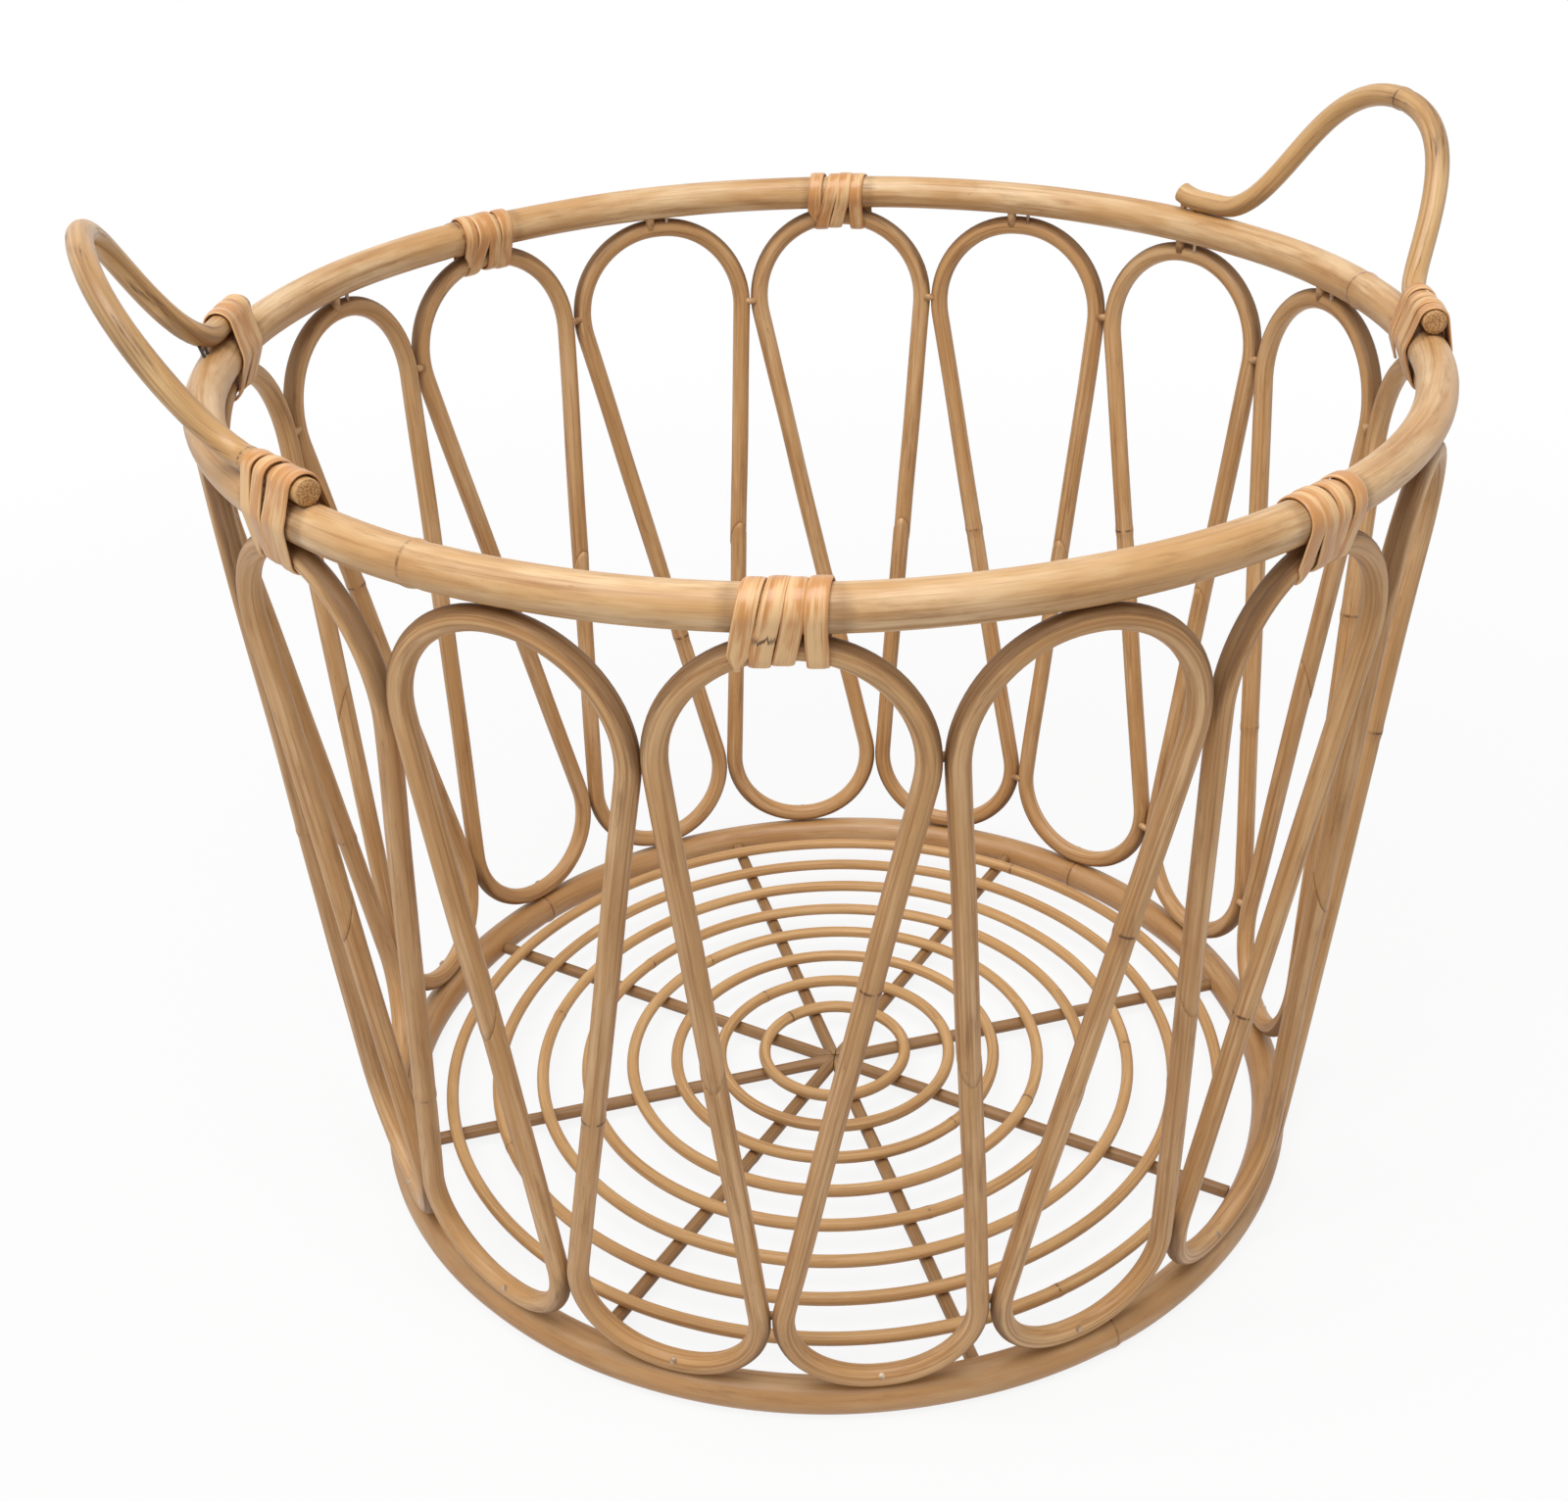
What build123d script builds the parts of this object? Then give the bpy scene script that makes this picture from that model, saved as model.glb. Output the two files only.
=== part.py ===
from build123d import *
from math import cos, hypot, radians, sin, sqrt, tan
import os

# A round laundry basket of bent rattan: two pole hoops, a wall of arched rods,
# a floor of rings on spokes, two handles and lashings of rattan peel.
# Millimetres and degrees. +Z is up, the floor is z = 0 and the basket's axis is Z.
# The handles stand over +X and -X.

# Hoops
RIM_RADIUS = 250.0
BASE_RADIUS = 219.5
RIM_HEIGHT = 390.5
POLE_DIAMETER = 16.2
WORN_FLAT = 0.5

# Wall rods
ARCH_COUNT = 16
WALL_ROD_DIAMETER = 9.2
APEX_FLAT = 2.0
ARCH_SEAT_ANGLE = 6.0
LOOP_SEAT_ANGLE = 8.0
BASE_TWIST = -4.3
SCARF_LENGTH = 22.0

# Floor
SPOKE_COUNT = 8
SPOKE_DIAMETER = 6.4
RING_COUNT = 8
RING_ROD_DIAMETER = 6.0
FIRST_RING_RADIUS = 36.0
RING_EDGE_GAP = 13.5

# Handles
HANDLE_ROD_DIAMETER = 10.4
FOOT_LENGTH = 18.0
UNLASHED_FOOT_LENGTH = 9.0
HEEL_LENGTH = 18.0
CROWN_OVERHANG = 29.0
CROWN_RISE = 64.0
RIGHT_FOOT_REACH = 32.0
RIGHT_CROWN_REACH = 62.0
LEFT_FOOT_REACH = 41.0
LEFT_CROWN_REACH = 80.0

# Peel lashings
PEEL_WIDTH = 7.2
PEEL_THICKNESS = 1.0
PEEL_TURNS = 4
PEEL_GAP = 0.65

# Clearances
SEAT_GAP = 0.3
PEEL_CLEARANCE = 0.3

pole = POLE_DIAMETER / 2
rod = WALL_ROD_DIAMETER / 2
spoke = SPOKE_DIAMETER / 2
ring_rod = RING_ROD_DIAMETER / 2
grip = HANDLE_ROD_DIAMETER / 2
arch_step = 360 / ARCH_COUNT
spoke_step = 360 / SPOKE_COUNT
base_height = pole - WORN_FLAT

os.makedirs("parts", exist_ok=True)


def save(part, name):
    part.label = name
    export_step(part, f"parts/{name}.step")


def turned(vector, angle):
    return vector.rotate(Axis.Z, angle)


# The hoops: one bent pole each, the lower one worn flat where it stands
with BuildPart() as top_hoop:
    with BuildSketch(Plane.XZ):
        with Locations((RIM_RADIUS, RIM_HEIGHT)):
            Circle(pole)
    revolve(axis=Axis.Z)
save(top_hoop.part, "top_hoop")

with BuildPart() as bottom_hoop:
    with BuildSketch(Plane.XZ):
        with Locations((BASE_RADIUS, base_height)):
            Circle(pole)
    revolve(axis=Axis.Z)
    split(bisect_by=Plane.XY, keep=Keep.TOP)
save(bottom_hoop.part, "bottom_hoop")

# The wall: rods that go over an arch under the top hoop and round a loop on the bottom hoop.
# Neighbouring arches touch at their sides, and so do neighbouring loops.
seat = pole + rod + SEAT_GAP
arch_radius = RIM_RADIUS + seat * sin(radians(ARCH_SEAT_ANGLE))
arch_height = RIM_HEIGHT - seat * cos(radians(ARCH_SEAT_ANGLE))
loop_radius = BASE_RADIUS + seat * sin(radians(LOOP_SEAT_ANGLE))
loop_height = base_height + seat * cos(radians(LOOP_SEAT_ANGLE))
half_step = radians(arch_step / 2)
wall_slope = (arch_radius - loop_radius) / hypot(arch_radius - loop_radius, arch_height - loop_height)


def touching_bend(radius, slope):
    """Bend radius that brings a bend's side to the neighbouring one's, less the gap."""
    side = radius * tan(half_step) - (rod + SEAT_GAP / 2) / cos(half_step) - APEX_FLAT / 2
    return side / (1 + slope * tan(half_step))


arch_bend = touching_bend(arch_radius, wall_slope)
loop_bend = touching_bend(loop_radius, -wall_slope)
loop_angle = arch_step / 2 + BASE_TWIST


def corner_offset(bend, before, after):
    """Distance from a bend's apex to the corner where its two tangents meet."""
    return APEX_FLAT / 2 + bend * tan(radians(before.get_angle(after)) / 2)


# The corners lie on the tangents at the apexes. Their places depend on the lean of the legs,
# which depends on the corners, so a few rounds settle both.
apex_run = Vector(0, 1, 0)
loop_run = turned(apex_run, loop_angle)
next_run = turned(apex_run, arch_step)
arch_start = arch_end = arch_bend
loop_start = loop_end = loop_bend
for settling in range(12):
    arch_first = Vector(arch_radius, -arch_start, arch_height)
    arch_last = Vector(arch_radius, arch_end, arch_height)
    loop_first = turned(Vector(loop_radius, -loop_start, loop_height), loop_angle)
    loop_last = turned(Vector(loop_radius, loop_end, loop_height), loop_angle)
    leg_down = loop_first - arch_last
    leg_up = turned(arch_first, arch_step) - loop_last
    arch_end = corner_offset(arch_bend, apex_run, leg_down)
    loop_start = corner_offset(loop_bend, leg_down, loop_run)
    loop_end = corner_offset(loop_bend, loop_run, leg_up)
    arch_start = corner_offset(arch_bend, leg_up, next_run)

# Each rod ends in a scarf halfway up the leg to the next arch
leg_run = leg_up.normalized()
splice = loop_last + leg_up * 0.5
outward = Vector(splice.X, splice.Y, 0).normalized()
across = (outward - leg_run * outward.dot(leg_run)).normalized()
scarf_normal = (leg_run * WALL_ROD_DIAMETER + across * SCARF_LENGTH).normalized()
scarf_run = (leg_run * SCARF_LENGTH - across * WALL_ROD_DIAMETER).normalized()
overrun = leg_run * (SCARF_LENGTH / 2 + rod)
scarf_shift = scarf_normal * (SEAT_GAP / 2)
first_point = turned(splice - overrun, -arch_step)

with BuildPart() as wall_rod:
    with BuildLine() as rod_path:
        FilletPolyline(
            first_point, arch_first, arch_last, loop_first, loop_last, splice + overrun,
            radius=[arch_bend, arch_bend, loop_bend, loop_bend],
        )
    with BuildSketch(Plane(origin=first_point, z_dir=rod_path.line % 0)):
        Circle(rod)
    sweep(path=rod_path.line)
    scarf_plane = Plane(origin=splice - scarf_shift, x_dir=scarf_run, z_dir=scarf_normal)
    with BuildSketch(scarf_plane):
        Rectangle(2 * SCARF_LENGTH, 2 * WALL_ROD_DIAMETER)
    extrude(amount=2 * WALL_ROD_DIAMETER, mode=Mode.SUBTRACT)
    start_plane = Plane(
        origin=turned(splice + scarf_shift, -arch_step),
        x_dir=turned(scarf_run, -arch_step),
        z_dir=turned(scarf_normal, -arch_step),
    )
    with BuildSketch(start_plane):
        Rectangle(2 * SCARF_LENGTH, 2 * WALL_ROD_DIAMETER)
    extrude(amount=-2 * WALL_ROD_DIAMETER, mode=Mode.SUBTRACT)
for index in range(ARCH_COUNT):
    save(wall_rod.part.rotate(Axis.Z, index * arch_step), f"wall_rod_{index + 1:02d}")

# The floor: spokes mitred together at the middle and coped to the bottom hoop, rings on top
mitre = radians(spoke_step / 2)
mitre_tip = SEAT_GAP / 2 / sin(mitre)

with BuildPart() as floor_spoke:
    with BuildSketch(Plane.YZ):
        with Locations((0, base_height)):
            Circle(spoke)
    extrude(amount=BASE_RADIUS)
    for side in (1, -1):
        split(
            bisect_by=Plane(origin=(mitre_tip, 0, 0), z_dir=(sin(mitre), side * cos(mitre), 0)),
            keep=Keep.TOP,
        )
    with BuildSketch(Plane.XZ):
        with Locations((BASE_RADIUS, base_height)):
            Circle(pole + SEAT_GAP)
    revolve(axis=Axis.Z, mode=Mode.SUBTRACT)
for index in range(SPOKE_COUNT):
    angle = BASE_TWIST + (index + 1) * spoke_step
    save(floor_spoke.part.rotate(Axis.Z, angle), f"floor_spoke_{index + 1}")

last_ring_radius = BASE_RADIUS - pole - RING_EDGE_GAP - ring_rod
ring_step = (last_ring_radius - FIRST_RING_RADIUS) / (RING_COUNT - 1)
ring_height = base_height + spoke + SEAT_GAP + ring_rod
for index in range(RING_COUNT):
    with BuildPart() as floor_ring:
        with BuildSketch(Plane.XZ):
            with Locations((FIRST_RING_RADIUS + index * ring_step, ring_height)):
                Circle(ring_rod)
        revolve(axis=Axis.Z)
    save(floor_ring.part, f"floor_ring_{index + 1}")

# The handles: each one smooth bow from heel to crown to heel, with feet along the top hoop
foot_height = RIM_HEIGHT + pole + SEAT_GAP + grip
foot_seat = turned(Vector(RIM_RADIUS, 0, foot_height), arch_step)
foot_run = turned(apex_run, arch_step)
heel = foot_seat - foot_run * HEEL_LENGTH
crown = Vector(RIM_RADIUS + CROWN_OVERHANG, 0, foot_height + CROWN_RISE)


def mirrored(point):
    return Vector(point.X, -point.Y, point.Z)


def handle(foot_reach, crown_reach, foot_length):
    """One handle over +X. A longer reach keeps the bow longer along its foot, or level at its crown."""
    toe = foot_seat + foot_run * foot_length
    other_toe = mirrored(foot_seat + foot_run * FOOT_LENGTH)
    leaving = heel - foot_run * foot_reach
    arriving = crown + Vector(0, crown_reach, 0)
    with BuildPart() as bow:
        with BuildLine() as path:
            Line(toe, heel)
            Bezier(heel, leaving, arriving, crown)
            Bezier(crown, mirrored(arriving), mirrored(leaving), mirrored(heel))
            Line(mirrored(heel), other_toe)
        with BuildSketch(Plane(origin=toe, z_dir=-foot_run)):
            Circle(grip)
        sweep(path=path.line)
    return bow.part


save(handle(RIGHT_FOOT_REACH, RIGHT_CROWN_REACH, UNLASHED_FOOT_LENGTH), "handle_right")
save(handle(LEFT_FOOT_REACH, LEFT_CROWN_REACH, FOOT_LENGTH).rotate(Axis.Z, 180), "handle_left")

# The lashings: a strip of peel wound round the hoop and the arch under it, and at a handle
# round its foot too. Each turn is a band round the hull of those rods, open on the inner side,
# where the strip crosses to the next turn.
peel_pitch = PEEL_WIDTH + PEEL_GAP
peel_offsets = [(turn - (PEEL_TURNS - 1) / 2) * peel_pitch for turn in range(PEEL_TURNS)]
peel_reach = peel_offsets[-1] + PEEL_WIDTH / 2

# Sections of the rods in the plane of a turn, radial and upward from the hoop's centre.
# Towards the lashing's edges the hoop curves inward and the arch drops away.
hoop_sag = RIM_RADIUS - sqrt(RIM_RADIUS**2 - peel_reach**2)
arch_drop = arch_bend - sqrt(arch_bend**2 - (peel_reach - APEX_FLAT / 2) ** 2)
hoop_edge = Vector(-hoop_sag, 0)
arch_apex = Vector(arch_radius - RIM_RADIUS, arch_height - RIM_HEIGHT)
arch_edge = arch_apex - Vector(wall_slope, sqrt(1 - wall_slope**2)) * arch_drop
lashed_rods = [(Vector(0, 0), pole), (hoop_edge, pole), (arch_apex, rod), (arch_edge, rod)]
foot_rod = (Vector(0, foot_height - RIM_HEIGHT), grip)

# The straight stretch of the band on the inner side, from hoop to arch
span = arch_edge - hoop_edge
span_run = span.normalized()
taper = (pole - rod) / span.length
inner_normal = span_run * taper + Vector(span_run.Y, -span_run.X) * sqrt(1 - taper**2)
upper_end = hoop_edge + inner_normal * (pole + PEEL_CLEARANCE)
lower_end = arch_edge + inner_normal * (rod + PEEL_CLEARANCE)


def turn_plane(offset):
    return Plane(origin=(RIM_RADIUS, offset, RIM_HEIGHT), x_dir=(1, 0, 0), z_dir=(0, -1, 0))


def lashing(rods):
    """One lashing over +X, round the rods given as sections."""
    with BuildPart() as peel:
        for offset in peel_offsets:
            for grown, mode in ((PEEL_THICKNESS, Mode.ADD), (0, Mode.SUBTRACT)):
                with BuildSketch(turn_plane(offset)):
                    for centre, radius in rods:
                        with Locations((centre.X, centre.Y)):
                            Circle(radius + PEEL_CLEARANCE + grown)
                    make_hull()
                extrude(amount=PEEL_WIDTH / 2, both=True, mode=mode)
            relief = inner_normal * PEEL_CLEARANCE
            depth = inner_normal * (PEEL_THICKNESS + PEEL_CLEARANCE)
            with BuildSketch(turn_plane(offset)):
                with BuildLine():
                    Polyline(
                        upper_end - relief, lower_end - relief, lower_end + depth, upper_end + depth,
                        close=True,
                    )
                make_face()
            extrude(amount=PEEL_WIDTH / 2, both=True, mode=Mode.SUBTRACT)
        for start, finish in zip(peel_offsets, peel_offsets[1:]):
            for offset, end in ((start, lower_end), (finish, upper_end)):
                middle = end + inner_normal * (PEEL_THICKNESS / 2)
                section = Plane(
                    origin=turn_plane(offset).from_local_coords(middle),
                    x_dir=apex_run,
                    z_dir=(inner_normal.Y, 0, -inner_normal.X),
                )
                with BuildSketch(section):
                    Rectangle(PEEL_WIDTH, PEEL_THICKNESS)
            loft(ruled=True)
    return peel.part


def crossing_gap(samples=60):
    """Least gap between two neighbouring crossings, on points along their facing edges."""
    climb = (upper_end - lower_end).length
    steps = [sample / samples for sample in range(samples + 1)]
    near = [Vector(peel_pitch * step + PEEL_WIDTH / 2, climb * step) for step in steps]
    far = [point + Vector(PEEL_GAP, 0) for point in near]
    return min((a - b).length for a in near for b in far)


print(f"least gap of a lashing to itself: {crossing_gap():.2f} mm")

rim_lashing = lashing(lashed_rods)
foot_lashing = lashing(lashed_rods + [foot_rod])
for name, arch in (("back", 3), ("back_left", 5), ("front", 11), ("front_right", 13)):
    save(rim_lashing.rotate(Axis.Z, arch * arch_step), f"lashing_{name}")
for name, arch in (("left_far", 7), ("left_near", 9), ("right_near", 15)):
    save(foot_lashing.rotate(Axis.Z, arch * arch_step), f"lashing_foot_{name}")
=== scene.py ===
# %% [markdown]
# # A bent rattan laundry basket
#
# Two thick hoops, a thin rod that snakes between them, a floor of rings on spokes and two bowed handles.
# The solids give the true sizes. Here each stick is made again as a stick that grew: a little uneven,
# with joints where leaves sat, streaks along its length, and smoke stains where a flame softened it for a
# bend.

import bpy
import mathutils
import numpy as np
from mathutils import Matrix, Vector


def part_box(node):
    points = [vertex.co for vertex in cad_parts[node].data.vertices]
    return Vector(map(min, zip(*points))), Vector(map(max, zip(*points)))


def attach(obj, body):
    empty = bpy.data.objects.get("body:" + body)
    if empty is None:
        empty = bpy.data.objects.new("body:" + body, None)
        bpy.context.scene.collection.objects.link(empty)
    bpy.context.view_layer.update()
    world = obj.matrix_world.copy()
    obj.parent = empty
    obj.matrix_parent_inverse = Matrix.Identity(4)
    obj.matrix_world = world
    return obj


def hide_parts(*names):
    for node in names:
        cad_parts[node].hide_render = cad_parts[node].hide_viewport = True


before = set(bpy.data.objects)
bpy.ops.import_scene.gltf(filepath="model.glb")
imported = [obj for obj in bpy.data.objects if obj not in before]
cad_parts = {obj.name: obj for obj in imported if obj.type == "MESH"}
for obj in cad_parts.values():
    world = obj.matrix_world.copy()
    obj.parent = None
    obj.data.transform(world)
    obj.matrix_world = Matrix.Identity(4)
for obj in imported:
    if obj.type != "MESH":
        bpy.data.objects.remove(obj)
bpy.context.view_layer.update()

# %% [markdown]
# ## Sizes
#
# The hoops' sizes are read from their solids, so the scene follows the source when it is resized. The
# other rods' radii are the maker's own numbers, all in metres.

# %% Sizes from the hoops, and the rods' own sizes
low, high = (np.array(corner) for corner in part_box("top_hoop"))
pole = (high[2] - low[2]) / 2
rim_radius = high[0] - pole
rim_height = (high[2] + low[2]) / 2
low, high = (np.array(corner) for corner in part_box("bottom_hoop"))
base_radius = high[0] - pole
base_height = high[2] - pole

wall_rod = 0.0046
grip = 0.0049
spoke_rod = 0.0032
ring_rod = 0.0030
seat_gap = 0.0003
arches = 16
arch_step = 2 * np.pi / arches
base_twist = np.radians(-4.3)
print(f"rim {rim_radius:.4f} at {rim_height:.4f}, base {base_radius:.4f} at {base_height:.4f},",
      f"pole {pole:.4f}")

# %% [markdown]
# ## Bent paths
#
# A bent rod is straight between its bends and runs on an arc round each former. The same idea as a
# rounded polyline in CAD: each corner is replaced by the arc that touches both of its sides.

# %% Rounded paths
arc_points = 90


def spin(points, angle):
    """Turns points about the upright axis: x and y mix by the angle's cosine and sine."""
    cosine, sine = np.cos(angle), np.sin(angle)
    return np.asarray(points, float) @ np.array([[cosine, sine, 0], [-sine, cosine, 0], [0, 0, 1]])


def unit(vectors):
    """Vectors divided by their own lengths."""
    return vectors / np.linalg.norm(vectors, axis=-1, keepdims=True)


def bend_arc(before, corner, after, radius):
    """Arc in a corner: its centre lies on the bisector at radius over the sine of the half angle."""
    first, last = unit(before - corner), unit(after - corner)
    half = np.arccos(np.clip(first @ last, -1, 1)) / 2
    centre = corner + unit(first + last) * radius / np.sin(half)
    start = (corner + first * radius / np.tan(half) - centre) / radius
    end = (corner + last * radius / np.tan(half) - centre) / radius
    side = unit(end - start * (start @ end))
    angle = np.linspace(0, np.pi - 2 * half, arc_points)[:, None]
    return centre + radius * (np.cos(angle) * start + np.sin(angle) * side)


def rounded_path(corners, bends, spacing=0.001):
    """Corners joined by straight runs and arcs, as points at even lengths along the line."""
    corners = np.asarray(corners, float)
    inner = [corners[1:-1]]
    if bends:
        inner = [bend_arc(*corners[k:k + 3], bend) for k, bend in enumerate(bends)]
    line = np.concatenate([corners[:1], *inner, corners[-1:]])
    run = np.r_[0, np.cumsum(np.linalg.norm(np.diff(line, axis=0), axis=1))]
    even = np.linspace(0, run[-1], int(run[-1] / spacing) + 1)
    return np.stack([np.interp(even, run, line[:, axis]) for axis in range(3)], axis=1)


def circle_path(radius, height, start=0.0, points=1600):
    """A level circle from a start angle, with the first point not repeated at the end."""
    angle = start + np.linspace(0, 2 * np.pi, points, endpoint=False)
    return np.stack([radius * np.cos(angle), radius * np.sin(angle), np.full(points, height)], axis=1)


print("a rounded corner has", len(rounded_path([[0, 0, 0], [0.1, 0, 0], [0.1, 0.1, 0]], [0.04])), "points")

# %% [markdown]
# ## Putting a surface into a mesh
#
# Each piece is a grid of points: rings along the stick and a set number of points round it. Every corner
# of every face gets its place along and around the stick as its UV, so the grain can follow the bends.
# The grid could also be a curve with a round bevel, but then the swellings, ovals and slanted ends would
# be lost.

# %% Meshes from grids


def grid_faces(rings, around, closed):
    """Quads of a grid that closes round its short way, and along its length too when closed is true."""
    ring, place = np.meshgrid(np.arange(rings if closed else rings - 1), np.arange(around), indexing="ij")
    ring_next, place_next = (ring + 1) % rings, (place + 1) % around
    corners = [(ring, place), (ring, place_next), (ring_next, place_next), (ring_next, place)]
    return np.stack([r.ravel() * around + p.ravel() for r, p in corners], axis=1)


def grid_places(along, closed, length):
    """UV at each quad's corners: the length along the piece, and the share of the way around it."""
    rings, around = along.shape
    lengths = np.concatenate([along, along[:1] + length]) if closed else along
    lengths = np.concatenate([lengths, lengths[:, :1]], axis=1)
    turns = np.broadcast_to(np.linspace(0, 1, around + 1), lengths.shape)
    places = np.stack([lengths, turns], axis=-1)
    corners = [places[:-1, :-1], places[:-1, 1:], places[1:, 1:], places[1:, :-1]]
    return np.stack([corner.reshape(-1, 2) for corner in corners], axis=1)


def add_mesh(name, points, faces, places, marks):
    """One object at the origin from arrays: points, faces, a UV pair per face corner, a value per point."""
    mesh = bpy.data.meshes.new(name)
    mesh.from_pydata(points.tolist(), [], faces)
    layer = mesh.uv_layers.new(name="grain")
    layer.data.foreach_set("uv", places.astype(np.float32).ravel())
    for mark, values in marks.items():
        attribute = mesh.attributes.new(mark, "FLOAT", "POINT")
        attribute.data.foreach_set("value", np.asarray(values, np.float32).ravel())
    mesh.polygons.foreach_set("use_smooth", np.ones(len(mesh.polygons), bool))
    mesh.update()
    piece = bpy.data.objects.new(name, mesh)
    bpy.context.scene.collection.objects.link(piece)
    return piece


print("faces of a 4 by 3 grid:", len(grid_faces(4, 3, False)), "open,",
      len(grid_faces(4, 3, True)), "closed")

# %% [markdown]
# ## A stick of rattan
#
# Rattan is a climbing palm. Its stem is round but never true: it wanders, thickens and thins, and every
# hand's breadth a leaf joint leaves a low swelling with a dark line. The stick below carries a circle
# along a path and stirs its centre, its radius and its oval with slow waves. It also notes, for the
# finish, how far each point is from a joint, how much it lies on the outside of a bend, and whether it is
# on a cut end.

# %% Slow waves, leaf joints and stations
chance = np.random.default_rng(964)
longest_wave, wave_orders = 0.35, np.arange(1, 6)
joint_margin = 0.02
joint_steps = np.array([-6, -4, -2.6, -1.6, -0.8, 0, 0.8, 1.6, 2.6, 4, 6]) * 0.001
joint_clear, end_clear, least_step = 0.0065, 0.001, 0.0002


def waves(run, length, closed):
    """Smooth unevenness about zero: five cosines, whole numbers of waves along a closed stick."""
    many = len(wave_orders)
    count = wave_orders * max(1.0, round(length / longest_wave)) + chance.uniform(-0.4, 0.4, many)
    count = np.round(count) if closed else count
    phase = chance.uniform(0, 2 * np.pi, many)
    size = chance.uniform(0.5, 1.0, many) / wave_orders
    return (size * np.cos(2 * np.pi * count * run[:, None] / length + phase)).sum(axis=1) / size.sum()


def leaf_joints(length, apart, closed):
    """Places of leaf joints: steps of about the given length, each a fifth longer or shorter."""
    count = max(1, round(length / apart))
    places = np.arange(count) + chance.uniform(0.1, 0.9) + chance.uniform(-0.2, 0.2, count)
    places = places * length / count
    return places % length if closed else np.clip(places, joint_margin, length - joint_margin)


def stations_along(length, joints, spacing, closed):
    """Even steps along the stick, with close ones at each joint so that its swelling is well drawn."""
    near = (joints[:, None] + joint_steps).ravel()
    near = near % length if closed else near[(near > end_clear) & (near < length - end_clear)]
    even = np.linspace(0, length, int(length / spacing), endpoint=not closed)
    keep = np.abs(even[:, None] - joints[None]).min(axis=1) > joint_clear
    keep[[0, -1]] = True
    run = np.unique(np.concatenate([even[keep], near]).round(6))
    return run[np.r_[True, np.diff(run) > least_step]]


def along_path(path, run, closed):
    """Places and directions on a dense path at the given lengths."""
    line = np.concatenate([path, path[:1]]) if closed else path
    reach = np.r_[0, np.cumsum(np.linalg.norm(np.diff(line, axis=0), axis=1))]
    ends = np.concatenate([path[-1:], line, path[1:2]]) if closed else line
    slope = np.gradient(ends, axis=0)[1:-1] if closed else np.gradient(ends, axis=0)
    place = np.stack([np.interp(run, reach, line[:, axis]) for axis in range(3)], axis=1)
    heading = np.stack([np.interp(run, reach, slope[:, axis]) for axis in range(3)], axis=1)
    return place, unit(heading)


def path_length(path, closed):
    """Length of a path, with its closing step when it is a ring."""
    line = np.concatenate([path, path[:1]]) if closed else path
    return np.linalg.norm(np.diff(line, axis=0), axis=1).sum()


print("stations drawn close to each leaf joint:", len(joint_steps))

# %% The stick itself
bend_reach, bend_mark = 0.014, 0.045
end_step, end_sizes = 0.0005, [0.5, 0.93]
swelling, swelling_width = 0.05, 0.0022
neck, neck_place, neck_width = 0.025, 0.0042, 0.0018
most_oval = 0.025


def stick(name, path, radius, outward, closed=False, around=20, spacing=0.0035, joint_gap=0.19,
          joint_share=None, wander=0.0003, uneven=0.018, slant=None, floor=None, stain=None):
    """A circle carried along a path, with radius times (1 + waves + joint swellings) and an oval section.

    outward(place) gives each place's reference direction. slant(out, over, run, length) gives how far each
    point is pushed along the stick, to shape its ends. floor cuts the stick flat from below. stain(place)
    adds smoke at places of its own.
    """
    length = path_length(path, closed)
    joints = leaf_joints(length, joint_gap, closed)
    if joint_share is not None:
        joints = np.array([chance.uniform(*joint_share) * length])
    run = stations_along(length, joints, spacing, closed)
    ends = np.ones(len(run))
    if not closed:
        run = np.concatenate([[0, 0], np.clip(run, end_step, length - end_step), [length, length]])
        ends = np.concatenate([end_sizes, ends, end_sizes[::-1]])

    def heading_at(spot):
        return along_path(path, spot % length if closed else np.clip(spot, 0, length), closed)[1]

    place, heading = along_path(path, run, closed)
    face = outward(place)
    face = unit(face - heading * (face * heading).sum(axis=1, keepdims=True))
    side = np.cross(heading, face)
    offset = run[:, None] - joints[None]
    if closed:
        offset = (offset + length / 2) % length - length / 2
    nearest = np.abs(offset).min(axis=1)
    swell = swelling * np.exp(-(offset / swelling_width) ** 2)
    swell = swell - neck * np.exp(-((offset - neck_place) / neck_width) ** 2)
    size = radius * ends * (1 + uneven * waves(run, length, closed) + swell.sum(axis=1))
    place = place + wander * waves(run, length, closed)[:, None] * face
    place = place + wander * waves(run, length, closed)[:, None] * side
    angle = np.linspace(0, 2 * np.pi, around, endpoint=False)
    oval = most_oval * waves(run, length, closed)[:, None]
    spread = size[:, None] * (1 + oval * np.cos(2 * angle))
    out, over = spread * np.cos(angle), spread * np.sin(angle)
    push = np.zeros_like(out) if slant is None else slant(out, over, run[:, None], length)
    points = (place[:, None] + out[..., None] * face[:, None] + over[..., None] * side[:, None]
              + push[..., None] * heading[:, None])
    if floor is not None:
        points[..., 2] = np.maximum(points[..., 2], floor)
    curve = (heading_at(run + bend_reach) - heading_at(run - bend_reach)) / (2 * bend_reach)
    ray = np.cos(angle)[:, None] * face[:, None] + np.sin(angle)[:, None] * side[:, None]
    bent = np.clip(-(curve[:, None] * ray).sum(axis=-1) * bend_mark, 0, 1)
    if stain is not None:
        bent = bent + stain(place)[:, None]
    cut = np.repeat((ends < 1)[:, None], around, axis=1)
    return finish_stick(name, points, run[:, None] + push, nearest, bent, cut, closed, length)


print(f"a joint swells a stick by {swelling:.0%} and narrows it by {neck:.1%} beside that")

# %% Closing a stick, and which way is out


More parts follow.
